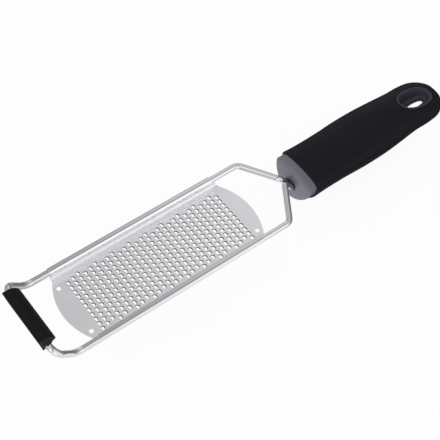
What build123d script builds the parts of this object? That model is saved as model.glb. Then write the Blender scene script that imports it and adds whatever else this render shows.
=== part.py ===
from build123d import *
from math import cos, pi, radians, sin, tan
import os

# A rasp zester: a toothed steel blade hooked over a bent wire frame, with a rubber foot across the raised
# front and a two-part handle moulded round the wire's tails. It lies with its underside up, teeth down.
# X runs from the foot to the handle and Z points up. Lengths are in millimetres.

# Wire frame
wire_d = 4.0
wire_half_span = 25.5        # from the middle line to the centre of a side wire
wire_lift = 5.4              # wire centre above the blade's upper face
front_bend_x = -74.3         # where the side wires turn up
front_slope = 45.0           # degrees
front_rise = 12.0
front_bend_r = 12.0
front_corner_r = 6.0
rear_bend_x = 75.2
rear_bend_r = 5.5
neck_x = 90.5
neck_bend_r = 4.0
neck_drop = 8.6              # the tails enter the handle below the plane of the side wires
neck_run = 7.2
tail_gap = 0.2
tail_length = 46.0
tail_flare_run = 7.0
tail_flare = 2.4

# Blade
sheet = 0.5
blade_length = 132.0         # over the tips of both rounded ends
blade_side_length = 118.2
flange_inset = 1.35          # from the wire's centre to the flange's inner face
flange_bend_r = 0.9
curl_gap = 0.05
curl_end_angle = 35.0        # degrees above the level of the wire, on its outer side
curl_rear_inset = 3.6
hole_d = 2.7
hole_x = 58.5
hole_y = 16.5

# Teeth
tooth_rows = 28
teeth_per_row = 11
row_pitch = 3.9
tooth_pitch = 3.5
row_shift_share = 1 / 3      # each row steps aside by this share of the pitch, three rows in turn
tooth_width = 2.5
tooth_length = 2.3
tooth_tip_share = 0.5
tooth_lean = 34.0            # degrees that a tooth is pressed down out of the sheet
tooth_root = 0.35
tooth_relief = 0.12

# Foot sleeve
foot_length = 36.4
foot_front = 5.3             # the front corner, before and above the wire's centre
foot_top = 7.8
foot_flat = 4.5              # contact face, from the front corner backwards
foot_bulge = (2.9, 5.5)      # a point on the rounded back of the section
foot_rear = 5.2
foot_rear_rise = 2.1
foot_heel = 2.9              # the lower corner, before and below the wire's centre
foot_heel_drop = 3.95
foot_edge_r = 0.6
foot_tube_r = 2.9            # rubber round the wire
foot_gap = 0.05

# Handle
collar_x = 98.0
handle_length = 121.8
handle_half_width = 17.6
handle_crest = 15.9
handle_belly = 16.6
collar_length = 6.6
collar_step = 1.6
collar_edge_r = 2.6
grip_thickness = 2.6
grip_edge_r = 0.6
recess_width = 9.6
recess_height = 6.4
recess_depth = 3.0
recess_r = 3.0
recess_rise = 0.4
core_gap = 0.05

# Handle form, one row a section from the collar to the tip: along as a share of the handle's length, half
# width as a share of the widest, and crest, widest line and belly as shares of the crest and belly heights.
# Between two rows the form gets rows_between more sections, on a smooth curve through the rows.
handle_shares = (
    (0.000, 1.015, 0.655, 0.305, -1.000),
    (0.110, 0.970, 0.675, 0.305, -0.955),
    (0.260, 0.965, 0.745, 0.330, -0.950),
    (0.410, 1.010, 0.835, 0.330, -0.905),
    (0.555, 0.995, 0.930, 0.300, -0.750),
    (0.660, 0.945, 0.975, 0.285, -0.530),
    (0.745, 0.910, 0.950, 0.295, -0.250),
    (0.830, 0.920, 0.870, 0.305, 0.010),
    (0.915, 0.835, 0.725, 0.330, 0.110),
    (0.962, 0.630, 0.635, 0.350, 0.185),
    (0.988, 0.370, 0.555, 0.370, 0.245),
)
rows_between = 1
edge_steps = 3               # straight steps round the rounded front edges of the collar and the grip
tip_height_share = 0.39
crest_shares = (0.70, 0.60)  # how square the crest's and the belly's quarter curves are, across and up
belly_shares = (0.45, 0.50)

# Hanging slot through the handle's head
slot_x = 199.5
slot_half_length = 14.0      # at the upper rim
slot_half_width = 7.9
rim_height_share = 0.87
ledge_half_length = 12.7
ledge_half_width = 5.2
ledge_z = 5.6
through_half_length = 11.3
through_half_width = 3.35
slot_power = 2.3
slot_points = 16
lining = 1.4
overrun = 6.0


def rounded_path(points, radii):
    """Straight runs through the points, with an arc of the given radius at each inner one."""
    corners = [Vector(*p) for p in points]
    edges, start = [], corners[0]
    for before, corner, after, radius in zip(corners, corners[1:], corners[2:], radii):
        back, ahead = (before - corner).normalized(), (after - corner).normalized()
        half = radians(back.get_angle(ahead)) / 2
        enter, leave = corner + back * (radius / tan(half)), corner + ahead * (radius / tan(half))
        middle = (back + ahead).normalized()
        crown = corner + middle * (radius / sin(half) - radius)
        edges += [Line(start, enter), ThreePointArc(enter, crown, leave)]
        start = leave
    return Wire([e.edge() for e in edges + [Line(start, corners[-1])]])


def wire_path():
    """Centre line of the whole frame, from one tail round the front to the other."""
    tail_y = wire_d / 2 + tail_gap / 2
    front_x = front_bend_x - front_rise / tan(radians(front_slope))
    low = wire_lift - neck_drop
    tail_x = neck_x + neck_run
    half = [
        (front_x, wire_half_span, wire_lift + front_rise),
        (front_bend_x, wire_half_span, wire_lift),
        (rear_bend_x, wire_half_span, wire_lift),
        (neck_x, tail_y, wire_lift),
        (tail_x, tail_y, low),
        (tail_x + tail_length, tail_y, low),
        (tail_x + tail_length + tail_flare_run, tail_y + tail_flare, low),
    ]
    radii = [front_corner_r, front_bend_r, rear_bend_r, neck_bend_r, neck_bend_r, neck_bend_r]
    other = [(x, -y, z) for x, y, z in half]
    return rounded_path(half[::-1] + other, radii[::-1] + radii)


def wire_solid(growth):
    path = wire_path()
    return sweep(Plane(path @ 0, z_dir=path % 0) * Circle(wire_d / 2 + growth), path)


def flange_profile():
    """One rolled edge across the blade: a strip of plate, the upright flange and the curl over the wire."""
    inner_r = wire_d / 2 + curl_gap
    outer_r = inner_r + sheet
    inner_face = wire_half_span - flange_inset
    outer_face = inner_face + sheet
    centre = Pos(wire_half_span, wire_lift)
    reach = outer_r + sheet
    ring = centre * (Circle(outer_r) - Circle(inner_r))
    below = Pos(outer_face, wire_lift) * Rectangle(2 * reach, 2 * reach, align=(Align.MIN, Align.MAX))
    beyond = centre * Rot(0, 0, curl_end_angle) * Rectangle(2 * reach, reach, align=(Align.MIN, Align.MAX))
    curl = ring - below - beyond
    flange_top = wire_lift - (inner_r**2 - (outer_face - wire_half_span) ** 2) ** 0.5
    bend = flange_bend_r + sheet
    plate_edge = inner_face - 2 * flange_bend_r
    elbow = Polyline(
        (plate_edge, -sheet), (outer_face, -sheet), (outer_face, flange_top),
        (inner_face, flange_top), (inner_face, 0), (plate_edge, 0), close=True,
    )
    strip = make_face(elbow)
    strip = fillet(strip.vertices().sort_by(Axis.Y)[:2].sort_by(Axis.X)[-1], bend)
    inner_corner = [v for v in strip.vertices() if abs(v.Y) < curl_gap and abs(v.X - inner_face) < curl_gap]
    return fillet(inner_corner, flange_bend_r) + curl


def tooth_outline(width, length):
    """A tongue from its root at the origin, narrowing to its cutting end at +X."""
    tip = width * tooth_tip_share
    corners = [(0, -width / 2), (length, -tip / 2), (length, tip / 2), (0, width / 2)]
    return make_face(Polyline(*corners, close=True))


def tooth_row(shift):
    """One row across the plate, each tongue pressed down out of its own opening."""
    half_field = wire_half_span - flange_inset - 2 * flange_bend_r
    first = (teeth_per_row - 1) / 2 - row_shift_share + shift
    places = [Pos(-tooth_length / 2, (first - tooth) * tooth_pitch) for tooth in range(teeth_per_row)]
    opening = tooth_outline(tooth_width, tooth_length)
    outline = Rectangle(row_pitch, 2 * half_field).faces()[0].outer_wire()
    strip = extrude(Face(outline, [(place * opening).faces()[0].outer_wire() for place in places]), -sheet)
    tongue_face = tooth_outline(tooth_width - 2 * tooth_relief, tooth_length + tooth_root - tooth_relief)
    tongue = Pos(-tooth_root, 0, 0) * Rot(0, tooth_lean, 0) * extrude(tongue_face, -sheet)
    return strip + [place * tongue for place in places]


def blade_end(sign):
    """The plain rounded end of the plate, from the last row of teeth outwards."""
    half_field = wire_half_span - flange_inset - 2 * flange_bend_r
    start = sign * tooth_rows * row_pitch / 2
    side = sign * blade_side_length / 2
    return make_face([
        Line((start, -half_field), (side, -half_field)),
        ThreePointArc((side, -half_field), (sign * blade_length / 2, 0), (side, half_field)),
        Line((side, half_field), (start, half_field)),
        Line((start, half_field), (start, -half_field)),
    ])


def blade_edge():
    """The rolled edge over one side wire. Its rear end slopes back from the plate's corner."""
    side = blade_side_length / 2
    edge = extrude(Plane(origin=(-side, 0, 0), x_dir=(0, 1, 0), z_dir=(1, 0, 0)) * flange_profile(), 2 * side)
    height = wire_lift + wire_d
    lean = curl_rear_inset / wire_lift * height
    beyond = make_face(Polyline(
        (side, 0), (side + overrun, 0), (side + overrun, height), (side - lean, height), close=True,
    ))
    return edge - extrude(Plane.XZ * beyond, wire_half_span + wire_d, both=True)


def blade():
    kinds = [tooth_row(turn * row_shift_share) for turn in range(3)]
    rows = [Pos((row - (tooth_rows - 1) / 2) * row_pitch, 0, 0) * kinds[row % 3] for row in range(tooth_rows)]
    small_hole = Circle(hole_d / 2)
    front_end = blade_end(-1) - [Pos(-hole_x, y) * small_hole for y in (-hole_y, hole_y)]
    rear_end = blade_end(1) - Pos(hole_x, -hole_y) * small_hole
    edge = blade_edge()
    ends = [extrude(front_end, -sheet), extrude(rear_end, -sheet)]
    return rows[0] + rows[1:] + ends + [edge, mirror(edge, Plane.XZ)]


def foot_sleeve():
    """A wedge-like section with a flat contact face on top, and a tube on its lower side for the wire."""
    front_x = front_bend_x - front_rise / tan(radians(front_slope))
    centre = Plane(origin=(front_x, 0, wire_lift + front_rise), x_dir=(1, 0, 0), z_dir=(0, -1, 0))
    front, back = (-foot_front, foot_top), (foot_flat - foot_front, foot_top)
    rear, heel = (foot_rear, foot_rear_rise), (-foot_heel, -foot_heel_drop)
    underside = [ThreePointArc(back, foot_bulge, rear), Line(rear, heel), Line(heel, front)]
    wedge = make_face([Line(front, back)] + underside)
    corners = wedge.vertices().sort_by_distance((foot_flat - foot_front, foot_top, 0))[1:]
    section = fillet(corners, foot_edge_r) + Circle(foot_tube_r) - Circle(wire_d / 2 + foot_gap)
    return extrude(centre * section, foot_length / 2, both=True)


def oval(half_length, half_width, power):
    """A closed superellipse: |x/a|^n + |y/b|^n = 1."""
    points = []
    for k in range(slot_points):
        angle = 2 * pi * k / slot_points
        across, up = cos(angle), sin(angle)
        points.append((
            half_length * abs(across) ** (2 / power) * (1 if across >= 0 else -1),
            half_width * abs(up) ** (2 / power) * (1 if up >= 0 else -1),
        ))
    return make_face(Spline(*points, periodic=True))


def handle_section(shares, inset):
    """A section of the handle: a flat crest over a narrower belly, meeting at the widest line."""
    along, width, crest, wide, belly = shares
    half_width = width * handle_half_width - inset
    level = wide * handle_crest

    def quarter(side, height, across_share, up_share):
        return Bezier(
            (side * half_width, level),
            (side * half_width, level + up_share * (height - level)),
            (side * half_width * across_share, height),
            (0, height),
        )

    top, bottom = crest * handle_crest - inset, belly * handle_belly + inset
    place = Plane(origin=(collar_x + along * handle_length, 0, 0), x_dir=(0, 1, 0), z_dir=(1, 0, 0))
    return place * make_face([
        quarter(1, top, *crest_shares), quarter(-1, top, *crest_shares),
        quarter(-1, bottom, *belly_shares), quarter(1, bottom, *belly_shares),
    ])


def smooth_rows(rows):
    """The rows with more in between, on a Catmull-Rom curve through them."""
    steps = rows_between + 1
    smooth = []
    for before, start, end, after in zip(rows[:1] + rows, rows, rows[1:], rows[2:] + rows[-1:]):
        for step in range(steps):
            t = step / steps
            smooth.append([
                b + (c - a) * t / 2 + (2 * a - 5 * b + 4 * c - d) * t**2 / 2
                + (3 * b - a - 3 * c + d) * t**3 / 2
                for a, b, c, d in zip(before, start, end, after)
            ])
    return smooth + [rows[-1]]


def section_at(x, inset):
    """The handle's section at x, on straight lines between the smooth rows."""
    along = (x - collar_x) / handle_length
    rows = smooth_rows(handle_shares)
    before, after = [pair for pair in zip(rows, rows[1:]) if pair[0][0] <= along][-1]
    share = (along - before[0]) / (after[0] - before[0])
    return handle_section([a + (b - a) * share for a, b in zip(before, after)], inset)


def handle_form(start, inset, edge_r):
    """The handle's form from start on, taken in by the inset, with a rounded front edge.

    The body under the grip ends in a flat short of the tip.
    """
    under_grip = inset > collar_step
    turns = [pi / 2 * step / edge_steps for step in range(edge_steps + 1)] if edge_r else [pi / 2]
    sections = [
        section_at(start + edge_r * (1 - cos(turn)), inset + edge_r * (1 - sin(turn))) for turn in turns]
    rows = smooth_rows(handle_shares[:-2] if under_grip else handle_shares)
    sections += [
        handle_section(row, inset) for row in rows if collar_x + row[0] * handle_length > start + edge_r]
    if not under_grip:
        sections.append(Vertex(collar_x + handle_length - inset, 0, tip_height_share * handle_crest))
    return loft(sections, ruled=True)


def hanging_slot(growth):
    """The funnel from the upper rim to the ledge, and the narrower slot on through."""
    top = handle_crest + overrun
    rim_z = rim_height_share * handle_crest
    funnel_slope = (slot_half_length - ledge_half_length) / (rim_z - ledge_z)
    flare = funnel_slope * (top - rim_z)
    width_slope = (slot_half_width - ledge_half_width) / (slot_half_length - ledge_half_length)
    funnel = loft([
        Pos(slot_x, 0, ledge_z - growth) * oval(
            ledge_half_length + growth, ledge_half_width + growth, slot_power),
        Pos(slot_x, 0, top) * oval(
            slot_half_length + flare + growth, slot_half_width + flare * width_slope + growth, slot_power),
    ])
    through = Pos(slot_x, 0, -overrun) * extrude(
        oval(through_half_length + growth, through_half_width + growth, slot_power), overrun + top)
    return funnel + through


def handle_core():
    """The collar, the body under the grip and the slot's lining, moulded round the tails."""
    grip_x = collar_x + collar_length
    size = 4 * (handle_crest + handle_belly)
    collar = handle_form(collar_x, collar_step, collar_edge_r)
    behind = (Align.MIN, Align.CENTER, Align.CENTER)
    collar -= Pos(grip_x, 0) * Box(2 * handle_length, size, size, align=behind)
    inside = handle_form(grip_x, grip_thickness, 0)
    sleeve = hanging_slot(lining) & handle_form(grip_x, 0, 0)
    low = wire_lift - neck_drop
    mouth = Plane(origin=(collar_x, 0, low + recess_rise), x_dir=(0, 1, 0), z_dir=(1, 0, 0))
    recess = extrude(mouth * RectangleRounded(recess_width, recess_height, recess_r), recess_depth, both=True)
    return collar + inside + sleeve - hanging_slot(0) - recess - wire_solid(core_gap)


def grip():
    grip_x = collar_x + collar_length
    return handle_form(grip_x, 0, grip_edge_r) - handle_form(grip_x, grip_thickness, 0) - hanging_slot(lining)


os.makedirs("parts", exist_ok=True)

pieces = {
    "frame_wire": wire_solid(0),
    "blade": blade(),
    "foot_sleeve": foot_sleeve(),
    "handle_core": handle_core(),
    "grip": grip(),
}

boxes = [piece.bounding_box() for piece in pieces.values()]
middle_x = (min(b.min.X for b in boxes) + max(b.max.X for b in boxes)) / 2
lowest = min(b.min.Z for b in boxes)
for name, piece in pieces.items():
    export_step(Pos(-middle_x, 0, -lowest) * piece, f"parts/{name}.step")
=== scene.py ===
import math
import bmesh
import bpy
import numpy as np
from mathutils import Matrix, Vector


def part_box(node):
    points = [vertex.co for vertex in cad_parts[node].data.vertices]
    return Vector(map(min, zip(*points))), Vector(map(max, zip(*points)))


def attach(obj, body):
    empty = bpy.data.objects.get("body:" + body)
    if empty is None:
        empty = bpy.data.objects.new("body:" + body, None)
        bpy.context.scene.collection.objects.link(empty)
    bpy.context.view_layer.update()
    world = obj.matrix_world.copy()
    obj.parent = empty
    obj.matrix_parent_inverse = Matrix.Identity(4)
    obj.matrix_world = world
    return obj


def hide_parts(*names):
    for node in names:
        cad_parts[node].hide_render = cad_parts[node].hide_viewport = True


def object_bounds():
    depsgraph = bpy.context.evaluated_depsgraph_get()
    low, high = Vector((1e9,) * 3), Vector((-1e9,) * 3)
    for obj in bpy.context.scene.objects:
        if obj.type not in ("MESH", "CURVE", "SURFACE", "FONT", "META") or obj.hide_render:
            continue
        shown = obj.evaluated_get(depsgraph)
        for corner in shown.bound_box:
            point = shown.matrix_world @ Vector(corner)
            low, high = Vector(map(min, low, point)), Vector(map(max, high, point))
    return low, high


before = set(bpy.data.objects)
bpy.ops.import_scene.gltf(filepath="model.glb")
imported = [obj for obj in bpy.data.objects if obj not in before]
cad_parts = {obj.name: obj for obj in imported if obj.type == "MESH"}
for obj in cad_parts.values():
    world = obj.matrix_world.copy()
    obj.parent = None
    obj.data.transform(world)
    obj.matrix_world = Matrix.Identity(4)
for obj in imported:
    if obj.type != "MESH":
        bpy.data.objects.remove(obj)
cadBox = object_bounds()

# Lengths below are in millimetres, with x = 0 at the middle of the blade and z = 0 on its upper face.
# The frame's own origin lies elsewhere, so everything is moved by origin and scaled to metres. The move is
# found from two places that both know: the handle's tip and the top of the blade's rolled edges.
perMetre = 1000
handleTipX, rolledEdgeTop = 219.8, 7.95
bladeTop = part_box("blade")[1][2]
origin = np.array([cadBox[1][0] * perMetre - handleTipX, 0.0, bladeTop * perMetre - rolledEdgeTop])

# Points nearer than this, in metres, are one point.
weldDistance = 2e-6
evenUv = (0.01, 0.01)


def toFrame(points):
    return (np.asarray(points, float) + origin) / perMetre


def gridFaces(rows, columns, wrap):
    # Quads of a grid of points numbered row by row; wrap joins the last column to the first.
    steps = columns if wrap else columns - 1
    row, column = np.meshgrid(np.arange(rows - 1), np.arange(steps), indexing="ij")
    here, below, ahead = row * columns, (row + 1) * columns, (column + 1) % columns
    corners = [here + column, here + ahead, below + ahead, below + column]
    quads = np.stack([c.ravel() for c in corners], 1)
    across = np.stack([column, column + 1, column + 1, column], -1).reshape(-1, 4)
    along = np.stack([row, row, row + 1, row + 1], -1).reshape(-1, 4)
    return quads, np.stack([across, along], -1).astype(float)


def closeMesh(work, mesh, sharp):
    # Faces turned outwards, and smooth shading but for edges sharper than the given angle.
    bmesh.ops.recalc_face_normals(work, faces=work.faces)
    work.to_mesh(mesh)
    work.free()
    mesh.polygons.foreach_set("use_smooth", np.ones(len(mesh.polygons), bool))
    mesh.set_sharp_from_angle(angle=math.radians(sharp))


def makePiece(name, patches, material, nodeName, sharp):
    # Every patch is (points, wrap, uv scale). The patches are welded into closed shells facing outwards.
    allPoints, allQuads, allUv, count = [], [], [], 0
    for points, wrap, uvScale in patches:
        rows, columns = points.shape[:2]
        quads, uv = gridFaces(rows, columns, wrap)
        allPoints.append(points.reshape(-1, 3))
        allQuads.append(quads + count)
        allUv.append(uv * np.asarray(uvScale))
        count += rows * columns
    points = toFrame(np.concatenate(allPoints))
    quads, uv = np.concatenate(allQuads), np.concatenate(allUv)
    mesh = bpy.data.meshes.new(name)
    mesh.vertices.add(len(points))
    mesh.vertices.foreach_set("co", points.ravel())
    mesh.loops.add(quads.size)
    mesh.loops.foreach_set("vertex_index", quads.ravel().astype(np.int32))
    mesh.polygons.add(len(quads))
    mesh.polygons.foreach_set("loop_start", (np.arange(len(quads)) * 4).astype(np.int32))
    mesh.update(calc_edges=True)
    layer = mesh.uv_layers.new(name="flow")
    layer.data.foreach_set("uv", uv.reshape(-1))
    work = bmesh.new()
    work.from_mesh(mesh)
    bmesh.ops.remove_doubles(work, verts=work.verts, dist=weldDistance)
    bmesh.ops.dissolve_degenerate(work, edges=work.edges, dist=weldDistance / 20)
    closeMesh(work, mesh, sharp)
    mesh.materials.append(material)
    piece = bpy.data.objects.new(name, mesh)
    bpy.context.scene.collection.objects.link(piece)
    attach(piece, "root")
    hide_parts(nodeName)
    print("piece", name, len(mesh.polygons), "faces")
    return piece


# Materials

def newMaterial(name):
    material = bpy.data.materials.new(name)
    material.use_nodes = True
    tree = material.node_tree
    shader = tree.nodes["Principled BSDF"]
    return material, tree, shader


def addNode(tree, kind, settings=None, inputs=None):
    node = tree.nodes.new(kind)
    for key, value in (settings or {}).items():
        setattr(node, key, value)
    for key, value in (inputs or {}).items():
        if hasattr(value, "is_output"):
            tree.links.new(value, node.inputs[key])
        else:
            node.inputs[key].default_value = value
    return node


def mathOf(tree, operation, *values):
    return addNode(tree, "ShaderNodeMath", {"operation": operation}, dict(enumerate(values))).outputs[0]


def splitOf(tree, vector):
    return addNode(tree, "ShaderNodeSeparateXYZ", None, {0: vector}).outputs


def noiseOf(tree, vector, scale, detail=3.0, roughness=0.6, stretch=(1, 1, 1)):
    mapped = addNode(tree, "ShaderNodeMapping", None, {"Vector": vector, "Scale": stretch})
    made = addNode(tree, "ShaderNodeTexNoise", None, {
        "Vector": mapped.outputs["Vector"], "Scale": scale, "Detail": detail, "Roughness": roughness})
    return made.outputs["Fac"]


def rampOf(tree, value, low, high, fromLow=0.0, fromHigh=1.0):
    # low at fromLow to high at fromHigh, and level beyond both.
    made = addNode(tree, "ShaderNodeMapRange", None, {
        "Value": value, "From Min": fromLow, "From Max": fromHigh, "To Min": low, "To Max": high})
    return made.outputs["Result"]


def mixOf(tree, value, dark, light):
    made = addNode(tree, "ShaderNodeMix", {"data_type": "RGBA"}, {0: value, 6: (*dark, 1), 7: (*light, 1)})
    return made.outputs[2]


def bumpOf(tree, height, strength, distance):
    made = addNode(tree, "ShaderNodeBump", None, {
        "Height": height, "Strength": strength, "Distance": distance})
    return made.outputs["Normal"]


# Bright drawn wire: fine scratches along its length, in the piece's own uv.
wireLook = {
    "dark": (0.62, 0.62, 0.645), "light": (0.80, 0.80, 0.815), "rough": (0.05, 0.12), "cloudScale": 60.0,
    "scratchStretch": (60.0, 2.0, 1.0), "scratchBump": 0.05, "scratchDepth": 0.0002,
}


def wireMaterial():
    look = wireLook
    material, tree, shader = newMaterial("wireSteel")
    coords = addNode(tree, "ShaderNodeTexCoord").outputs
    scratch = noiseOf(tree, coords["UV"], 1.0, stretch=look["scratchStretch"])
    cloud = noiseOf(tree, coords["Object"], look["cloudScale"])
    shader.inputs["Metallic"].default_value = 1.0
    tree.links.new(mixOf(tree, scratch, look["dark"], look["light"]), shader.inputs["Base Color"])
    tree.links.new(rampOf(tree, cloud, *look["rough"]), shader.inputs["Roughness"])
    tree.links.new(bumpOf(tree, scratch, look["scratchBump"], look["scratchDepth"]), shader.inputs["Normal"])
    return material


# Satin stainless sheet: short rolling marks along the blade and a faint cloudiness. The rolled edges are
# burnished by the tool that closed them, which makes them smoother, and their colour is darkened as painted
# shade. The cut walls of the openings are darkened as painted shade too, and the margins beside the field get
# painted light on the left and painted shade on the right. The uv's second part marks those walls: it runs
# from
# 2 to 4 over them and is 0 elsewhere. Places across the blade are in metres.
bladeLook = {
    "dark": (0.83, 0.83, 0.86), "light": (0.955, 0.955, 0.985), "rough": (0.27, 0.40),
    "grainScale": 900.0, "grainStretch": (0.12, 1.0, 1.0), "grainShare": 0.35, "grainBump": 0.06,
    "grainDepth": 0.0001, "cloudScale": 35.0, "cloud": (0.1, 0.6),
    "burnishAndShadeFrom": (0.0236, 0.0244), "rolledEdgePaintedShade": 0.80, "burnishRough": 0.16,
    "wallMark": 3.0, "wallReach": (1.6, 2.0), "wallPaintedShade": 0.11,
    "leftPaintedLight": 1.04, "leftFrom": (0.016, 0.021), "rightPaintedShade": 0.93, "rightFrom": (-0.023, -0.018),
}


def scaledBy(tree, color, factor):
    return addNode(tree, "ShaderNodeVectorMath", {"operation": "SCALE"}, {0: color, 3: factor}).outputs[0]


def bladeMaterial():
    look = bladeLook
    material, tree, shader = newMaterial("bladeSteel")
    coords = addNode(tree, "ShaderNodeTexCoord").outputs
    grain = noiseOf(tree, coords["Object"], look["grainScale"], 3.0, 0.7, look["grainStretch"])
    cloud = noiseOf(tree, coords["Object"], look["cloudScale"], 3.0, 0.5)
    mottle = mathOf(tree, "MULTIPLY_ADD", grain, look["grainShare"], rampOf(tree, cloud, *look["cloud"]))
    side = splitOf(tree, coords["Object"])["Y"]
    # Painted shade: from here outwards the rolled edges are darkened, besides being smoother.
    burnishAndShade = rampOf(tree, mathOf(tree, "ABSOLUTE", side), 0.0, 1.0, *look["burnishAndShadeFrom"])
    # Painted shade on the openings' walls, which the uv's second part marks.
    mark = splitOf(tree, coords["UV"])["Y"]
    away = mathOf(tree, "ABSOLUTE", mathOf(tree, "SUBTRACT", mark, look["wallMark"]))
    wall = rampOf(tree, away, look["wallPaintedShade"], 1.0, *look["wallReach"])
    # Painted light on the left margin and painted shade on the right one.
    left = rampOf(tree, side, 1.0, look["leftPaintedLight"], *look["leftFrom"])
    right = rampOf(tree, side, look["rightPaintedShade"], 1.0, *look["rightFrom"])
    sideLightAndShade = mathOf(tree, "MULTIPLY", left, right)
    # Painted shade on the rolled edges, times the margins' painted light and painted shade.
    edges = mathOf(tree, "MULTIPLY", rampOf(tree, burnishAndShade, 1.0, look["rolledEdgePaintedShade"]), sideLightAndShade)
    # All the painted light and painted shade together, which scales the sheet's own colour.
    paintedLightAndShade = mathOf(tree, "MULTIPLY", edges, wall)
    base = scaledBy(tree, mixOf(tree, mottle, look["dark"], look["light"]), paintedLightAndShade)
    rough = addNode(tree, "ShaderNodeMix", {"data_type": "FLOAT"}, {
        0: burnishAndShade, 2: rampOf(tree, grain, *look["rough"]), 3: look["burnishRough"]})
    shader.inputs["Metallic"].default_value = 1.0
    tree.links.new(base, shader.inputs["Base Color"])
    tree.links.new(rough.outputs[0], shader.inputs["Roughness"])
    fine = bumpOf(tree, grain, rampOf(tree, burnishAndShade, look["grainBump"], 0.0), look["grainDepth"])
    tree.links.new(fine, shader.inputs["Normal"])
    return material


# Moulded polymers: a base colour that varies a little, a fine moulded grain and a low shine.
polymerLook = {
    "cloudScale": 45.0, "roughSpread": 0.06, "grainDepth": 0.0001,
    "footRubber": {
        "dark": (0.0075, 0.0075, 0.0075), "light": (0.0105, 0.0105, 0.0105),
        "rough": 0.55, "shine": 0.10, "grainScale": 1600.0, "grainBump": 0.10},
    "corePlastic": {
        "dark": (0.140, 0.138, 0.170), "light": (0.162, 0.160, 0.196),
        "rough": 0.42, "shine": 0.35, "grainScale": 1400.0, "grainBump": 0.05},
    # The slot's lining is the core's plastic darkened as painted shade for the inside of the slot.
    "slotPlasticPaintedShade": {
        "dark": (0.046, 0.044, 0.058), "light": (0.056, 0.054, 0.070),
        "rough": 0.50, "shine": 0.25, "grainScale": 1400.0, "grainBump": 0.05},
    "gripRubber": {
        "dark": (0.0072, 0.0066, 0.0107), "light": (0.0100, 0.0092, 0.0143),
        "rough": 0.50, "shine": 0.12, "grainScale": 1500.0, "grainBump": 0.08},
}


def polymerMaterial(name):
    look, spread = polymerLook[name], polymerLook["roughSpread"]
    material, tree, shader = newMaterial(name)
    place = addNode(tree, "ShaderNodeTexCoord").outputs["Object"]
    grain = noiseOf(tree, place, look["grainScale"], 2.0, 0.5)
    cloud = noiseOf(tree, place, polymerLook["cloudScale"])
    rough = rampOf(tree, grain, look["rough"] - spread, look["rough"] + spread)
    fine = bumpOf(tree, grain, look["grainBump"], polymerLook["grainDepth"])
    tree.links.new(mixOf(tree, cloud, look["dark"], look["light"]), shader.inputs["Base Color"])
    tree.links.new(rough, shader.inputs["Roughness"])
    tree.links.new(fine, shader.inputs["Normal"])
    shader.inputs["Specular IOR Level"].default_value = look["shine"]
    return material


wireSteel = wireMaterial()
bladeSteel = bladeMaterial()
footRubber = polymerMaterial("footRubber")
corePlastic = polymerMaterial("corePlastic")
slotPlasticPaintedShade = polymerMaterial("slotPlasticPaintedShade")
gripRubber = polymerMaterial("gripRubber")
print("materials made")


# Wire frame: one round wire along straight runs joined by tangent arcs.
wireSize = {
    "radius": 2.0, "halfSpan": 25.5, "lift": 5.4,
    "frontBendX": -74.3, "frontSlope": 45.0, "frontRise": 12.0, "frontBendR": 12.0, "frontCornerR": 6.0,
    "rearBendX": 75.2, "rearBendR": 5.5, "neckX": 90.5, "neckBendR": 4.0, "neckDrop": 8.6, "neckRun": 7.2,
    "tailGap": 0.2, "tailLength": 46.0, "tailFlareRun": 7.0, "tailFlare": 2.4,
    "around": 48, "arcSteps": 18, "flow": 0.05, "sharp": 50.0,
}


def roundedPath(corners, radii, steps):
    # At each inner corner an arc of the given radius replaces the corner. Its centre lies on the bisector, at
    # radius / sin(half the corner's angle), and it starts radius / tan(half the angle) before the corner.
    path = [corners[0]]
    for before, corner, after, radius in zip(corners, corners[1:], corners[2:], radii):
        back, ahead = before - corner, after - corner
        back, ahead = back / np.linalg.norm(back), ahead / np.linalg.norm(ahead)
        half = math.acos(np.clip(back @ ahead, -1, 1)) / 2
        enter = corner + back * radius / math.tan(half)
        leave = corner + ahead * radius / math.tan(half)
        bisector = (back + ahead) / np.linalg.norm(back + ahead)
        centre = corner + bisector * radius / math.sin(half)
        first, last = enter - centre, leave - centre
        turn = math.pi - 2 * half
        share = np.linspace(0, 1, steps)[:, None]
        arc = (first * np.sin((1 - share) * turn) + last * np.sin(share * turn)) / math.sin(turn)
        path.extend(centre + arc)
    path.append(corners[-1])
    return np.array(path)


def tubeAlong(path, radius, around):
    # Rings of radius r at each path point p: p + r (cos a N + sin a B), with N and B carried along the path
    # by the smallest turn from one tangent to the next. The ends close on their middle points.
    step = np.diff(path, axis=0)
    step /= np.linalg.norm(step, axis=1)[:, None]
    tangent = np.vstack([step[:1], step[:-1] + step[1:], step[-1:]])
    tangent /= np.linalg.norm(tangent, axis=1)[:, None]
    normal = np.cross(tangent[0], (0.0, 0.0, 1.0))
    normals = []
    for direction in tangent:
        normal = normal - direction * (normal @ direction)
        normal /= np.linalg.norm(normal)
        normals.append(normal)
    normals = np.array(normals)
    other = np.cross(tangent, normals)
    angle = np.linspace(0, 2 * math.pi, around, endpoint=False)
    ring = np.cos(angle)[None, :, None] * normals[:, None] + np.sin(angle)[None, :, None] * other[:, None]
    rings = path[:, None] + radius * ring
    start, end = np.repeat(path[None, :1], around, 1), np.repeat(path[None, -1:], around, 1)
    return np.concatenate([start, rings, end])


def crossbarX():
    s = wireSize
    return s["frontBendX"] - s["frontRise"] / math.tan(math.radians(s["frontSlope"]))


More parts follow.
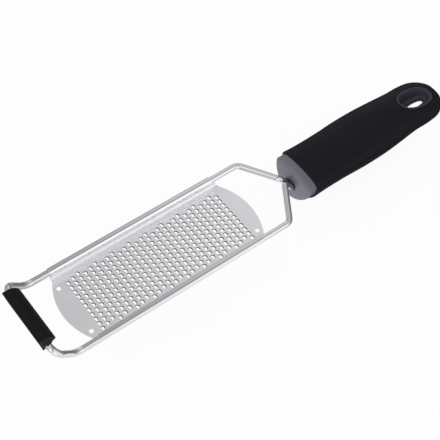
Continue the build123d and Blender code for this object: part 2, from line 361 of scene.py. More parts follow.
def makeWire():
    s = wireSize
    tailY = s["radius"] + s["tailGap"] / 2
    low, tailX = s["lift"] - s["neckDrop"], s["neckX"] + s["neckRun"]
    half = [
        (crossbarX(), s["halfSpan"], s["lift"] + s["frontRise"]), (s["frontBendX"], s["halfSpan"], s["lift"]),
        (s["rearBendX"], s["halfSpan"], s["lift"]), (s["neckX"], tailY, s["lift"]), (tailX, tailY, low),
        (tailX + s["tailLength"], tailY, low),
        (tailX + s["tailLength"] + s["tailFlareRun"], tailY + s["tailFlare"], low),
    ]
    radii = [s["frontCornerR"], s["frontBendR"], s["rearBendR"]] + [s["neckBendR"]] * 3
    corners = [np.array(p) for p in half[::-1] + [(x, -y, z) for x, y, z in half]]
    path = roundedPath(corners, radii[::-1] + radii, s["arcSteps"])
    rings = tubeAlong(path, s["radius"], s["around"])
    uv = (1 / s["around"], s["flow"])
    makePiece("frameWire", [(rings, True, uv)], wireSteel, "frame_wire", s["sharp"])


makeWire()


# Blade: a field of tiles, each with one opening and one pressed tooth, plain ends and rolled edges.
bladeSize = {
    "sheet": 0.5, "length": 132.0, "sideLength": 118.2, "halfField": 22.35,
    "holeR": 1.35, "holeX": 58.5, "holeY": 16.5, "holeSteps": 32, "endSteps": 61,
    "rows": 28, "perRow": 11, "rowPitch": 3.9, "pitch": 3.5, "rowShift": 1 / 3, "tileSteps": 6,
    "openingWidth": 2.5, "openingLength": 2.4, "openingTip": 1.08, "openingBulge": 0.03,
    "rootShares": (-1, -0.86, -0.45, 0, 0.45, 0.86, 1), "rootInsets": (0.16, 0.02, 0, 0, 0, 0.02, 0.16),
    "tipShares": (1, 0.82, 0.44, 0, -0.44, -0.82, -1), "tipInsets": (0.52, 0.25, 0.06, 0, 0.06, 0.25, 0.52),
    "edgeR": 0.10, "edgeBulge": 0.4, "rimReach": (0.44, 0.10),
    "toothWidth": 2.2, "toothTip": 0.55, "toothLength": 2.15, "toothDrop": 0.03, "toothSteps": 8,
    "toothAcross": 6, "toothEnd": 0.82, "toothThick": 0.42, "toothThin": 0.14, "toothDish": 0.10,
    "toothArch": 0.16, "lean": 40.0, "leanFrom": 0.3, "leanPower": 0.8, "root": 0.34,
    "flangeY": 24.4, "bendR": 1.15, "wireY": 25.5, "wireZ": 5.4, "curlR": 2.3, "curlEnd": 35.0,
    "rearInset": 3.6, "bendSteps": 10, "curlSteps": 60, "profileSteps": 150, "smoothing": 15,
    "edgeSteps": 30, "edgeEnd": 0.004, "sharp": 28.0,
}


def openingRing(grow):
    # Sixteen points round an opening: a straight root, two straight sides and an arched far end.
    s = bladeSize
    root = s["openingWidth"] / 2 * np.array(s["rootShares"])
    rootX = -s["openingLength"] / 2 + np.array(s["rootInsets"])
    tip = s["openingTip"] * np.array(s["tipShares"])
    tipX = s["openingLength"] / 2 - np.array(s["tipInsets"])
    side = (root[-1] + tip[0]) / 2 + s["openingBulge"]
    x = np.concatenate([rootX, [0.0], tipX, [0.0]])
    y = np.concatenate([root, [side], tip, [-side]])
    middle = np.array([x.mean(), 0.0])
    offset = np.stack([x, y], 1) - middle
    return middle + offset * (1 + grow / np.linalg.norm(offset, axis=1))[:, None]


def tileRing():
    s = bladeSize
    halfX, halfY = s["rowPitch"] / 2, s["pitch"] / 2
    up, middle = np.linspace(-halfY, halfY, s["tileSteps"] + 1), [0.0]
    end = np.full(len(up), halfX)
    x = np.concatenate([-end, middle, end, middle])
    y = np.concatenate([up, [halfY], up[::-1], [-halfY]])
    return np.stack([x, y], 1)


def toothTile():
    # The tile's rings: outer edge, rounded rim, wall, rounded lower rim, outer edge underneath. The press has
    # pulled the upper rim down more at the opening's far end, by rimReach.
    s = bladeSize
    rim, wide, outer = openingRing(0.0), openingRing(s["edgeR"]), tileRing()
    drawn = wide + s["rimReach"]
    edge, under = s["edgeR"], -s["sheet"]
    levels = [(outer, 0.0), (drawn, 0.0), ((drawn + rim) / 2, -edge * s["edgeBulge"]), (rim, -edge),
              (rim, under + edge), (wide, under), (outer, under)]
    return np.stack([np.column_stack([ring, np.full(len(ring), z)]) for ring, z in levels])


def toothTongue():
    # A tongue whose slope grows smoothly from nought at its root to the full lean. A point at share t along
    # it and q across is (x(t), q w(t), z(t) + dish (q q - 1)), and the lower skin lies a thickness below.
    s = bladeSize
    t = np.linspace(0, 1, s["toothSteps"])
    slope = math.radians(s["lean"]) * np.clip(t / s["leanFrom"], 0, 1) ** s["leanPower"]
    stepLength = s["toothLength"] / (len(t) - 1)
    middle = (slope[1:] + slope[:-1]) / 2
    x = np.concatenate([[0], np.cumsum(np.cos(middle))]) * stepLength - s["openingLength"] / 2 - s["root"]
    z = -np.concatenate([[0], np.cumsum(np.sin(middle))]) * stepLength - s["toothDrop"]
    width = s["toothWidth"] / 2 + (s["toothTip"] - s["toothWidth"] / 2) * t
    width[-1] *= s["toothEnd"]
    q = np.linspace(-1, 1, s["toothAcross"])
    thick = s["toothThick"] - s["toothThin"] * t
    along = np.repeat(x[:, None], len(q), 1)
    along[-1] -= s["toothArch"] * q**2
    dish = s["toothDish"] * t[:, None] * (q**2 - 1)
    top = np.stack([along, width[:, None] * q, z[:, None] + dish], -1)
    normal = np.stack([-np.sin(slope), 0 * slope, -np.cos(slope)], -1)
    below = top + (normal * thick[:, None])[:, None]
    loop = np.concatenate([top, below[:, ::-1]], 1)
    caps = [np.stack([top[end], below[end]]) for end in (0, -1)]
    return [(loop, True), (caps[0], False), (caps[1], False)]


def lengthAlong(line):
    return np.concatenate([[0], np.cumsum(np.linalg.norm(np.diff(line, axis=0), axis=1))])


def edgeProfile():
    # The sheet's middle line: along the plate, up a short flange and round the wire, smoothed between runs.
    s = bladeSize
    half = s["sheet"] / 2
    bend, bendR = np.radians(np.linspace(-90, 0, s["bendSteps"])), s["bendR"]
    centreY, centreZ = s["flangeY"] - bendR, bendR - half
    plate = [(s["halfField"], -half)]
    plate += [(centreY + bendR * math.cos(a), centreZ + bendR * math.sin(a)) for a in bend]
    meet = math.acos((s["flangeY"] - s["wireY"]) / s["curlR"])
    curl = np.linspace(2 * math.pi - meet, math.radians(s["curlEnd"]), s["curlSteps"])
    ring = [(s["wireY"] + s["curlR"] * math.cos(a), s["wireZ"] + s["curlR"] * math.sin(a)) for a in curl]
    line = np.array(plate + ring)
    length = lengthAlong(line)
    even = np.linspace(0, length[-1], s["profileSteps"])
    fine = np.stack([np.interp(even, length, line[:, k]) for k in (0, 1)], 1)
    # Mirrored beyond both ends, so that smoothing leaves the ends in place.
    weights = np.hanning(s["smoothing"])[1:-1]
    beyond = len(weights) // 2
    padded = np.concatenate([
        2 * fine[:1] - fine[beyond:0:-1], fine, 2 * fine[-1:] - fine[-2:-2 - beyond:-1]])
    smooth = np.stack([np.convolve(padded[:, k], weights / weights.sum(), "valid") for k in (0, 1)], 1)
    middle = smooth[::2]
    along = np.gradient(middle, axis=0)
    along /= np.linalg.norm(along, axis=1)[:, None]
    side = np.stack([-along[:, 1], along[:, 0]], 1) * half
    return middle + side, middle - side


def rolledEdge(sign):
    # The profile carried along x. The rear end slopes: x reaches the side's end less inset z / wire height.
    s = bladeSize
    outer, inner = edgeProfile()
    loop = np.concatenate([outer, inner[::-1]])
    share = np.linspace(s["edgeEnd"], 1 - s["edgeEnd"], s["edgeSteps"])
    share = np.concatenate([[0], share, [1]])[:, None]
    front = -s["sideLength"] / 2
    rear = s["sideLength"] / 2 - np.clip(loop[:, 1], 0, None) * s["rearInset"] / s["wireZ"]
    x = front + share * (rear - front)
    points = np.stack([x, sign * loop[:, 0] + 0 * x, loop[:, 1] + 0 * x], -1)
    count = len(outer)
    caps = [np.stack([row[:count], row[count:][::-1]]) for row in (points[0], points[-1])]
    return [(points, True), (caps[0], False), (caps[1], False)]


def rowPlaces():
    # The middle of every row along x, and its first opening across, in pitches. Three rows take turns.
    s = bladeSize
    row = np.arange(s["rows"])
    first = (s["perRow"] - 1) / 2 - s["rowShift"] + (row % 3) * s["rowShift"]
    return (row - (s["rows"] - 1) / 2) * s["rowPitch"], first


def plateMargins():
    # Plain strips beside the tiles, on the same lattice, so that they weld to them.
    s = bladeSize
    patches = []
    stepY = s["pitch"] / s["tileSteps"]
    last = math.floor(s["halfField"] / stepY)
    for middle, first in zip(*rowPlaces()):
        high, low = (first + 0.5) * s["pitch"], (first + 0.5 - s["perRow"]) * s["pitch"]
        x = middle + np.array([-0.5, 0, 0.5]) * s["rowPitch"]
        for start, sign in ((high, 1), (-low, -1)):
            y = np.append(np.arange(round(start / stepY), last + 1) * stepY, s["halfField"]) * sign
            gridX, gridY = np.meshgrid(x, y, indexing="ij")
            top = np.stack([gridX, gridY, 0 * gridX], -1)
            bottom = top - np.array([0, 0, s["sheet"]])
            wall = np.stack([top[:, -1], bottom[:, -1]])
            patches += [(top, False), (bottom, False), (wall, False)]
    return patches


def plateEnd(work, sign):
    # A plain rounded end with its small holes, filled between its outline and the holes on both faces.
    s = bladeSize
    stepY = s["pitch"] / s["tileSteps"]
    last = math.floor(s["halfField"] / stepY)
    y = np.concatenate([[-s["halfField"]], np.arange(-last, last + 1) * stepY, [s["halfField"]]])
    start, side = s["rows"] * s["rowPitch"] / 2, s["sideLength"] / 2
    rise = s["length"] / 2 - side
    radius = (rise**2 + s["halfField"] ** 2) / (2 * rise)
    sweep = math.asin(s["halfField"] / radius)
    angle = np.linspace(sweep, -sweep, s["endSteps"])
    arc = np.stack([s["length"] / 2 - radius + radius * np.cos(angle), radius * np.sin(angle)], 1)
    line = np.stack([np.full(len(y), start), y], 1)
    outline = np.concatenate([line, arc])
    turn = np.linspace(0, 2 * math.pi, s["holeSteps"], endpoint=False)
    circle = s["holeR"] * np.stack([np.cos(turn), np.sin(turn)], 1)
    holes = [circle + (s["holeX"], -s["holeY"])]
    if sign < 0:
        holes.append(circle + (s["holeX"], s["holeY"]))
    loops = [outline] + holes
    for level in (0.0, -s["sheet"]):
        edges = []
        for loop in loops:
            made = [work.verts.new(toFrame((sign * px, py, level))) for px, py in loop]
            edges += [work.edges.new((a, b)) for a, b in zip(made, made[1:] + made[:1])]
        bmesh.ops.triangle_fill(work, use_beauty=True, use_dissolve=False, edges=edges)
    for number, loop in enumerate(loops):
        pairs = list(zip(loop, np.roll(loop, -1, axis=0)))
        if number == 0:
            pairs = pairs[len(line) - 1:-1] + pairs[-1:]
        for a, b in pairs:
            corners = [(a, 0.0), (b, 0.0), (b, -s["sheet"]), (a, -s["sheet"])]
            work.faces.new([work.verts.new(toFrame((sign * p[0], p[1], z))) for p, z in corners])


def makeBlade():
    s = bladeSize
    x, first = rowPlaces()
    y = (first[:, None] - np.arange(s["perRow"])) * s["pitch"]
    places = np.stack([np.repeat(x[:, None], s["perRow"], 1), y, 0 * y], -1).reshape(-1, 3)
    # The uv's second part counts the tile's rings, which marks the openings' walls for their painted shade,
    # and is 0 elsewhere.
    shadeMarked, plain = (0.05, 1.0), (0.05, 0.0)
    tile = toothTile()
    patches = [(tile + place, True, shadeMarked) for place in places]
    for grid, wrap in toothTongue():
        patches += [(grid + place, wrap, plain) for place in places]
    rest = plateMargins() + rolledEdge(1) + rolledEdge(-1)
    patches += [(points, wrap, plain) for points, wrap in rest]
    piece = makePiece("bladeSheet", patches, bladeSteel, "blade", s["sharp"])
    work = bmesh.new()
    work.from_mesh(piece.data)
    for sign in (1, -1):
        plateEnd(work, sign)
    bmesh.ops.remove_doubles(work, verts=work.verts, dist=weldDistance)
    closeMesh(work, piece.data, s["sharp"])
    print("blade ends added", len(piece.data.polygons), "faces")


makeBlade()


# Foot: the wedge-like section carried along y, with soft edges at both ends.
footSize = {
    "length": 36.4, "front": 5.3, "top": 7.8, "flat": 4.5, "bulge": (2.9, 5.5), "rear": 5.2, "rearRise": 2.1,
    "heel": 2.9, "heelDrop": 3.95, "tubeR": 2.9, "endR": 0.45, "boreR": 2.05,
    "runSteps": 60, "around": 360, "smoothing": 9, "endSteps": 6, "rowInset": 2.0, "rows": 12,
    "uv": (0.01, 0.1), "sharp": 40.0,
}


def arcThrough(a, b, c, steps):
    # The circle through three points: its centre is where the two chords' bisectors meet.
    (ax, ay), (bx, by), (cx, cy) = a, b, c
    d = 2 * (ax * (by - cy) + bx * (cy - ay) + cx * (ay - by))
    ux = ((ax**2 + ay**2) * (by - cy) + (bx**2 + by**2) * (cy - ay) + (cx**2 + cy**2) * (ay - by)) / d
    uy = ((ax**2 + ay**2) * (cx - bx) + (bx**2 + by**2) * (ax - cx) + (cx**2 + cy**2) * (bx - ax)) / d
    start, end = math.atan2(ay - uy, ax - ux), math.atan2(cy - uy, cx - ux)
    turn = (end - start + math.pi) % (2 * math.pi) - math.pi
    angle = start + np.linspace(0, 1, steps) * turn
    radius = math.hypot(ax - ux, ay - uy)
    return np.stack([ux + radius * np.cos(angle), uy + radius * np.sin(angle)], 1)


def footOutline():
    # The wedge's corners joined by straight runs and one arc, then the outline seen from the wire's centre:
    # at each angle the larger of the wedge's reach and the tube's radius, smoothed a little.
    s = footSize
    front, back = (-s["front"], s["top"]), (s["flat"] - s["front"], s["top"])
    rear, heel = (s["rear"], s["rearRise"]), (-s["heel"], -s["heelDrop"])
    steps = s["runSteps"]
    loop = np.concatenate([
        np.linspace(front, back, steps), arcThrough(back, s["bulge"], rear, steps),
        np.linspace(rear, heel, steps), np.linspace(heel, front, steps)])
    angle = np.unwrap(np.arctan2(loop[:, 1], loop[:, 0]))
    reach = np.hypot(loop[:, 0], loop[:, 1])
    order = np.argsort(angle)
    even = np.linspace(-math.pi, math.pi, s["around"], endpoint=False)
    radius = np.interp(even, angle[order], reach[order], period=2 * math.pi)
    radius = np.maximum(radius, s["tubeR"])
    weights, beyond = np.hanning(s["smoothing"]), s["smoothing"] // 2
    wrapped = np.concatenate([radius[-beyond:], radius, radius[:beyond]])
    radius = np.minimum(np.convolve(wrapped, weights / weights.sum(), "valid"), radius)
    return np.stack([radius * np.cos(even), radius * np.sin(even)], 1)


def makeFoot():
    s, w = footSize, wireSize
    outline = footOutline()
    reach = np.linalg.norm(outline, axis=1, keepdims=True)
    bore = outline / reach * s["boreR"]
    half, endR = s["length"] / 2, s["endR"]
    turn = np.radians(np.linspace(90, 0, s["endSteps"]))
    ends = [(outline * (1 - endR * (1 - math.cos(a)) / reach), half - endR * (1 - math.sin(a))) for a in turn]
    body = [(outline, y) for y in np.linspace(-half + s["rowInset"], half - s["rowInset"], s["rows"])]
    rows = [(bore, -half)] + [(ring, -y) for ring, y in ends] + body
    rows += ends[::-1] + [(bore, half), (bore, -half)]
    centreX, centreZ = crossbarX(), w["lift"] + w["frontRise"]
    points = np.stack([
        np.column_stack([centreX + ring[:, 0], np.full(len(ring), y), centreZ + ring[:, 1]])
        for ring, y in rows])
    makePiece("footSleeve", [(points, True, s["uv"])], footRubber, "foot_sleeve", s["sharp"])


makeFoot()


# Handle: a section for each row, which gives where it lies as a share of the length, and its half width,
# crest, widest line and belly as shares of the largest ones.
handleSize = {
    "start": 98.0, "length": 121.8, "halfWidth": 17.6, "crest": 15.9, "belly": 16.57, "tipHeight": 0.39,
    "crestCurve": (0.70, 0.60), "bellyCurve": (0.45, 0.50), "sectionSteps": 40,
    "collarLength": 6.6, "collarStep": 1.6, "collarEdgeR": 2.6, "collarEdgeSteps": 10,
    "recessHalf": (4.5, 2.9), "recessPower": 3.6, "recessRise": 0.4,
    "collarInside": ((0.0, 0.0), (0.5, 1.0), (6.0, 2.4)),
    "gripEdgeR": 0.7, "gripEdgeSteps": 7, "gripInside": ((0.0, 2.4), (1.0, 6.0)), "gripLip": 0.25,
    "gripRows": 90, "sideSteps": 220, "curveSteps": 400, "spread": 0.2,
    "slotX": 199.5, "rim": (12.7, 7.0), "ledge": (11.5, 4.6), "ledgeZ": 5.6, "through": (10.0, 2.75),
    "slotPower": 2.3, "lining": 1.3, "liningSteps": 160,
    "gripSharp": 35.0, "coreSharp": 50.0,
}
handleRows = np.array([
    (0.000, 1.015, 0.655, 0.305, -1.000),
    (0.110, 0.970, 0.675, 0.305, -0.955),
    (0.260, 0.965, 0.745, 0.330, -0.950),
    (0.410, 1.010, 0.835, 0.330, -0.905),
    (0.555, 0.995, 0.930, 0.300, -0.750),
    (0.660, 0.945, 0.975, 0.285, -0.530),
    (0.745, 0.910, 0.950, 0.295, -0.250),
    (0.830, 0.920, 0.870, 0.305, 0.010),
    (0.915, 0.835, 0.725, 0.330, 0.110),
    (0.962, 0.630, 0.635, 0.350, 0.185),
    (0.988, 0.370, 0.555, 0.370, 0.245),
])


def hermite(x, xs, ys):
    # Cubic pieces through the rows, with slopes from their neighbours.
    slopes = np.gradient(ys, xs)
    k = np.clip(np.searchsorted(xs, x) - 1, 0, len(xs) - 2)
    span = xs[k + 1] - xs[k]
    t = np.clip((x - xs[k]) / span, 0, 1)
    return ((2 * t**3 - 3 * t**2 + 1) * ys[k] + (t**3 - 2 * t**2 + t) * span * slopes[k]
            + (3 * t**2 - 2 * t**3) * ys[k + 1] + (t**3 - t**2) * span * slopes[k + 1])


def handleAt(x, inset=0.0):
    # Half width, crest, widest line and belly at x. The width is carried as its square, which rounds the tip.
    s = handleSize
    share = np.clip((np.asarray(x, float) - s["start"]) / s["length"], 0, 1)
    tip = s["tipHeight"]
    rows = np.vstack([handleRows, (1.0, 0.0, tip, tip, tip * s["crest"] / s["belly"])])
    xs = rows[:, 0]
    width = np.sqrt(np.clip(hermite(share, xs, rows[:, 1] ** 2), 0, None)) * s["halfWidth"]
    crest = hermite(share, xs, rows[:, 2]) * s["crest"]
    level = hermite(share, xs, rows[:, 3]) * s["crest"]
    belly = hermite(share, xs, rows[:, 4]) * s["belly"]
    width = np.clip(width - inset, 0, None)
    return width, np.maximum(crest - inset, level), level, np.minimum(belly + inset, level)


def quarterCurve(t, curve):
    # The section's cubic quarter, across and up as shares: the widest line at t = 0, the middle at t = 1.
    acrossShare, upShare = curve
    across = (1 - t) ** 3 + 3 * (1 - t) ** 2 * t + 3 * (1 - t) * t**2 * acrossShare
    up = 3 * (1 - t) ** 2 * t * upShare + 3 * (1 - t) * t**2 + t**3
    return across, up


def surfaceHeight(x, y, top):
    # Height of the crest's or belly's skin over the plan point (x, y).
    s = handleSize
    width, crest, level, belly = handleAt(x)
    across, up = quarterCurve(np.linspace(0, 1, s["curveSteps"]), s["crestCurve" if top else "bellyCurve"])
    share = np.clip(np.abs(y) / np.maximum(width, 1e-6), 0, 1)
    rise = np.interp(share, across[::-1], up[::-1])
    return level + ((crest if top else belly) - level) * rise


def quarterSteps():
    return (1 - np.cos(np.linspace(0, math.pi, handleSize["sectionSteps"] + 1))) / 2


def sectionRing(x, inset):
    # The whole section at x, from the -y side over the crest to the +y side and back under the belly.
    s = handleSize
    width, crest, level, belly = handleAt(x, inset)
    topY, topUp = quarterCurve(quarterSteps(), s["crestCurve"])
    lowY, lowUp = quarterCurve(quarterSteps(), s["bellyCurve"])
    topZ, lowZ = level + (crest - level) * topUp, level + (belly - level) * lowUp
    y = np.concatenate([-topY, topY[-2::-1], lowY[1:], -lowY[-2:0:-1]]) * width
    z = np.concatenate([topZ, topZ[-2::-1], lowZ[1:], lowZ[-2:0:-1]])
    return np.stack([np.full(len(y), float(x)), y, z], 1)


def tipRing(ring):
    # Closes a ring on its middle point.
    return np.repeat(ring.mean(0)[None], len(ring), 0)


def oval(half, angle, power):
    # A superellipse: |x / a|^n + |y / b|^n = 1.
    across, up = np.cos(angle), np.sin(angle)
    bend = 2 / power
    return half[0] * np.sign(across) * np.abs(across) ** bend, half[1] * np.sign(up) * np.abs(up) ** bend


def slotRing(half, angle):
    x, y = oval(half, angle, handleSize["slotPower"])
    return np.stack([handleSize["slotX"] + x, y], 1)


def planOutline(start):
    # The handle's outline from above: the +y side to the tip, back along the -y side, and across the front.
    s = handleSize
    end = s["start"] + s["length"]
    share = np.linspace(0, 1, s["sideSteps"])
    x = start + (end - start) * (1 - (1 - share) ** 2)
    width = handleAt(x)[0]
    frontY = quarterCurve(quarterSteps(), s["crestCurve"])[0]
    frontY = np.concatenate([-frontY, frontY[-2::-1]])[1:-1] * width[0]
    side = np.stack([x, width], 1)
    back = side[-2::-1] * (1, -1)
    return np.concatenate([side, back, np.stack([np.full(len(frontY), start), frontY], 1)])


def makeGrip():
    s = handleSize
    start, edgeR = s["start"] + s["collarLength"], s["gripEdgeR"]
    outline = planOutline(start + edgeR)
    # Lines run from the slot to the outline, mostly straight outwards, and spread a little evenly along it.
    polar = np.unwrap(np.arctan2(outline[:, 1], outline[:, 0] - s["slotX"]))
    travelled = lengthAlong(outline)
    even = polar[0] + travelled / travelled[-1] * (polar[-1] - polar[0])
    angle = (1 - s["spread"]) * polar + s["spread"] * even
    share = np.sin(np.linspace(0, math.pi / 2, s["gripRows"]))[:, None, None]
    patches, lips = [], []
    for top, opening, lipDrop in ((True, "rim", s["gripLip"]), (False, "through", -s["gripLip"])):
        inner = slotRing(np.array(s[opening]) + s["lining"], angle)
        plan = inner + share * (outline - inner)
        points = np.dstack([plan, surfaceHeight(plan[..., 0], plan[..., 1], top)])
        lip = points[0] - (0, 0, lipDrop)
        patches.append((np.concatenate([lip[None], points]), True, evenUv))
        lips.append(lip)
    patches.append((np.stack(lips), True, evenUv))
    # The front edge: x = start + r (1 - sin a), inset = r (1 - cos a), then a flat ring in to the body.
    rows = [sectionRing(start + edgeR * (1 - math.sin(a)), edgeR * (1 - math.cos(a)))
            for a in np.radians(np.linspace(0, 90, s["gripEdgeSteps"]))]
    rows += [sectionRing(start + along, inset) for along, inset in s["gripInside"]]
    rows.append(tipRing(rows[-1]))
    patches.append((np.stack(rows), True, evenUv))
    makePiece("gripCover", patches, gripRubber, "grip", s["gripSharp"])


# The recess round the wires, from its floor out: depth below the collar's face and how much wider it is.
recessRings = [(1.7, -1.0), (1.45, -0.25), (0.7, 0.0), (0.6, 0.0), (0.18, 0.14), (0.0, 0.6)]
# Shares of the way from the recess to the collar's rounded edge.
faceShares = (0.12, 0.35, 0.65, 0.9)


def makeCollar():
    s, w = handleSize, wireSize
    front, step, edgeR = s["start"], s["collarStep"], s["collarEdgeR"]
    low = w["lift"] - w["neckDrop"] + s["recessRise"]
    base = sectionRing(front, step)
    angle = np.arctan2(base[:, 2] - low, base[:, 1])

    def recessRing(depth, wider):
        y, z = oval(np.array(s["recessHalf"]) + wider, angle, s["recessPower"])
        return np.stack([np.full(len(y), front + depth), y, low + z], 1)

    rows = [np.tile((front + recessRings[0][0], 0.0, low), (len(base), 1))]
    rows += [recessRing(*ring) for ring in recessRings]
    outer = sectionRing(front, step + edgeR)
    rows += [rows[-1] * (1 - k) + outer * k for k in faceShares]
    rows += [sectionRing(front + edgeR * (1 - math.sin(a)), step + edgeR * (1 - math.cos(a)))
             for a in np.radians(np.linspace(90, 0, s["collarEdgeSteps"]))]
    last = front + s["collarLength"]
    rows += [sectionRing(last + along, step + inset) for along, inset in s["collarInside"]]
    rows.append(tipRing(rows[-1]))
    patches = [(np.stack(rows), True, evenUv)]
    makePiece("collar", patches, corePlastic, "handle_core", s["coreSharp"])


# The slot's lining, round its profile: the opening it follows, how far outside that it lies, and its height,
# given as the drop below the crest's or belly's skin or as the rise above the ledge.
liningRings = [
    ("rim", 1.25, "crest", 0.30), ("rim", 1.0, "crest", 0.10), ("rim", 0.5, "crest", 0.02),
    ("rim", 0.12, "crest", 0.12), ("rim", -0.05, "crest", 0.45),
    ("ledge", 0.35, "ledge", 1.0), ("ledge", 0.1, "ledge", 0.25), ("ledge", -0.25, "ledge", 0.0),
    ("through", 0.35, "ledge", 0.0), ("through", 0.08, "ledge", -0.12), ("through", 0.0, "ledge", -0.4),
    ("through", 0.0, "belly", -0.5), ("through", 0.15, "belly", -0.15), ("through", 0.75, "belly", -0.03),
    ("through", 1.25, "belly", -0.2), ("ledge", 1.25, "ledge", -1.5),
]


def makeLining():
    s = handleSize
    turn = np.linspace(0, 2 * math.pi, s["liningSteps"], endpoint=False)
    rows = []
    for opening, wider, skin, offset in liningRings:
        ring = slotRing(np.array(s[opening]) + wider, turn)
        if skin == "ledge":
            height = np.full(len(ring), s["ledgeZ"] + offset)
        else:
            height = surfaceHeight(ring[:, 0], ring[:, 1], skin == "crest") - offset
        rows.append(np.column_stack([ring, height]))
    rows.append(rows[0])
    patches = [(np.stack(rows), True, evenUv)]
    # The lining wears the core's plastic, darkened as painted shade.
    makePiece("slotLining", patches, slotPlasticPaintedShade, "handle_core", s["coreSharp"])


makeGrip()
makeCollar()
makeLining()


# Studio. Camera rays see plain white. Matt surfaces see a soft surround: base, and then along times the
# direction's x, across times its y and up times its z. Reflections see a darker surround with a bright strip
# and a dark gap in it, and a floor that is bright on the near side.
# Each list gives levels at places from 0 to 1, which stand for -1 to +1: for along that is the direction's x,
# for strip and gap its distance from the plane with the given normal. strip adds, gap is the share left.
stageLook = {
    "along": [(0.00, 0.85), (0.35, 0.85), (0.50, 0.64), (0.56, 0.50), (0.62, 0.47),
              (0.71, 0.82), (0.80, 0.85), (0.875, 0.60), (0.95, 0.35), (1.00, 0.30)],
    "strip": [(0.00, 0.68), (0.10, 0.62), (0.22, 0.42), (0.34, 0.10), (0.44, 0.55),
              (0.51, 0.74), (0.57, 0.50), (0.65, 0.00), (1.00, 0.00)],
    "stripNormal": (0.891, 0.428, 0.149), "stripFullY": -0.20, "stripEndY": 0.05,
    "gap": [(0.00, 1.00), (0.37, 1.00), (0.44, 0.50), (0.52, 0.46),
            (0.60, 1.00), (0.82, 1.00), (0.93, 0.75), (1.00, 0.75)],
    "gapNormal": (-0.436, 0.876, 0.203),
    "matt": {"base": 0.95, "along": -0.75, "across": 0.15, "up": -0.25},
}

# The floor, in metres. Its reflected level falls from near to far across it. Under the slanted wires the
# bright part reaches further, by the last value of legs, and behind them little of it is left: end's last.
floorLook = {
    "size": 6.0, "drop": 0.0004, "albedo": 0.96, "glow": 0.94,
    "near": 1.05, "far": 0.35, "nearY": -0.05, "farY": 0.03,
    "legs": (-0.012, 0.003, 0.06), "end": (0.033, 0.042, 0.12),
}

# The camera, in millimetres and degrees, solved from the photo.
cameraLook = {
    "film": 36.0, "lens": 86.831,
    "place": (-202.305, -258.208, 518.350), "turn": (34.4694, -4.1765, -37.4647),
}


def bandsOf(tree, value, stops):
    place = rampOf(tree, value, 0.0, 1.0, -1.0, 1.0)
    bands = addNode(tree, "ShaderNodeValToRGB", None, {"Fac": place})
    bands.color_ramp.interpolation = "EASE"
    elements = bands.color_ramp.elements
    for number, (position, level) in enumerate(stops):
        # A new ramp already has two stops.
        stop = elements[number] if number < 2 else elements.new(position)
        stop.position = position
        stop.color = (level, level, level, 1)
    return bands.outputs["Color"]


def dotOf(tree, vector, other):
    made = addNode(tree, "ShaderNodeVectorMath", {"operation": "DOT_PRODUCT"}, {0: vector, 1: other})
    return made.outputs["Value"]


def eitherOf(tree, share, first, second):
    return addNode(tree, "ShaderNodeMixShader", None, {0: share, 1: first, 2: second}).outputs[0]


def makeFloor():
    look = floorLook
    half = look["size"] / 2
    mesh = bpy.data.meshes.new("floor")
    corners = [(-half, -half, 0), (half, -half, 0), (half, half, 0), (-half, half, 0)]
    mesh.from_pydata(corners, [], [(0, 1, 2, 3)])
    floor = bpy.data.objects.new("floor", mesh)
    bpy.context.scene.collection.objects.link(floor)
    floor.location.z = -look["drop"]
    material, tree, shader = newMaterial("floorWhite")
    tree.nodes.remove(shader)
    matt = addNode(tree, "ShaderNodeBsdfDiffuse", None, {"Color": (look["albedo"],) * 3 + (1,)})
    place = splitOf(tree, addNode(tree, "ShaderNodeTexCoord").outputs["Object"])
    (legsFrom, legsTo, reach), (endFrom, endTo, endShare) = look["legs"], look["end"]
    wider = rampOf(tree, place["X"], 0.0, -reach, legsFrom, legsTo)
    across = mathOf(tree, "ADD", place["Y"], wider)
    level = rampOf(tree, across, look["near"], look["far"], look["nearY"], look["farY"])
    level = mathOf(tree, "MULTIPLY", level, rampOf(tree, place["X"], 1.0, endShare, endFrom, endTo))
    glossy = addNode(tree, "ShaderNodeLightPath").outputs["Is Glossy Ray"]
    seen = addNode(tree, "ShaderNodeMix", {"data_type": "FLOAT"}, {0: glossy, 2: 1.0, 3: level}).outputs[0]
    bright = addNode(tree, "ShaderNodeEmission", None, {"Color": (1, 1, 1, 1), "Strength": seen})
    both = eitherOf(tree, look["glow"], matt.outputs[0], bright.outputs[0])
    tree.links.new(both, tree.nodes["Material Output"].inputs["Surface"])
    mesh.materials.append(material)


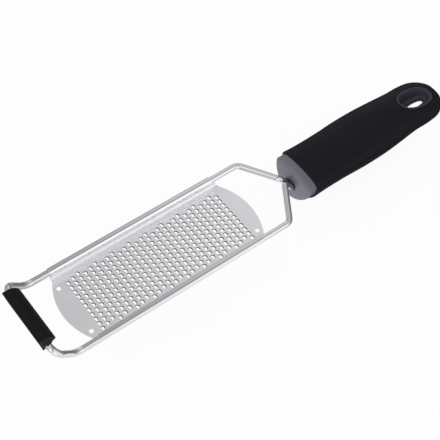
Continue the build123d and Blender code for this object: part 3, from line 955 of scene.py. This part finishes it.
def makeWorld():
    look, matt = stageLook, stageLook["matt"]
    world = bpy.data.worlds.new("studio")
    bpy.context.scene.world = world
    world.use_nodes = True
    tree = world.node_tree

    def surround(color, strength=1.0):
        return addNode(tree, "ShaderNodeBackground", None, {"Color": color, "Strength": strength}).outputs[0]

    direction = addNode(tree, "ShaderNodeTexCoord").outputs["Generated"]
    part = splitOf(tree, direction)
    along = bandsOf(tree, part["X"], look["along"])
    strip = bandsOf(tree, dotOf(tree, direction, look["stripNormal"]), look["strip"])
    gap = bandsOf(tree, dotOf(tree, direction, look["gapNormal"]), look["gap"])
    ended = rampOf(tree, part["Y"], 1.0, 0.0, look["stripFullY"], look["stripEndY"])
    added = addNode(tree, "ShaderNodeMix", {"data_type": "RGBA", "blend_type": "ADD"}, {
        0: ended, 6: along, 7: strip})
    left = addNode(tree, "ShaderNodeMix", {"data_type": "RGBA", "blend_type": "MULTIPLY"}, {
        0: 1.0, 6: added.outputs[2], 7: gap})
    tilt = dotOf(tree, direction, (matt["along"], matt["across"], matt["up"]))
    even = surround((1, 1, 1, 1), mathOf(tree, "ADD", tilt, matt["base"]))
    path = addNode(tree, "ShaderNodeLightPath").outputs
    lit = eitherOf(tree, path["Is Glossy Ray"], even, surround(left.outputs[2]))
    seen = eitherOf(tree, path["Is Camera Ray"], lit, surround((1, 1, 1, 1)))
    out = addNode(tree, "ShaderNodeOutputWorld")
    tree.links.new(seen, out.inputs["Surface"])
    for node in list(tree.nodes):
        if node.bl_idname == "ShaderNodeOutputWorld" and node != out:
            tree.nodes.remove(node)


def makeCamera():
    data = bpy.data.cameras.new("camera")
    data.sensor_width = cameraLook["film"]
    data.lens = cameraLook["lens"]
    camera = bpy.data.objects.new("camera", data)
    camera.location = toFrame(cameraLook["place"])
    camera.rotation_euler = np.radians(cameraLook["turn"])
    bpy.context.scene.collection.objects.link(camera)
    bpy.context.scene.camera = camera
    bpy.context.scene.view_settings.view_transform = "Standard"


makeFloor()
makeWorld()
makeCamera()
print("stage made")
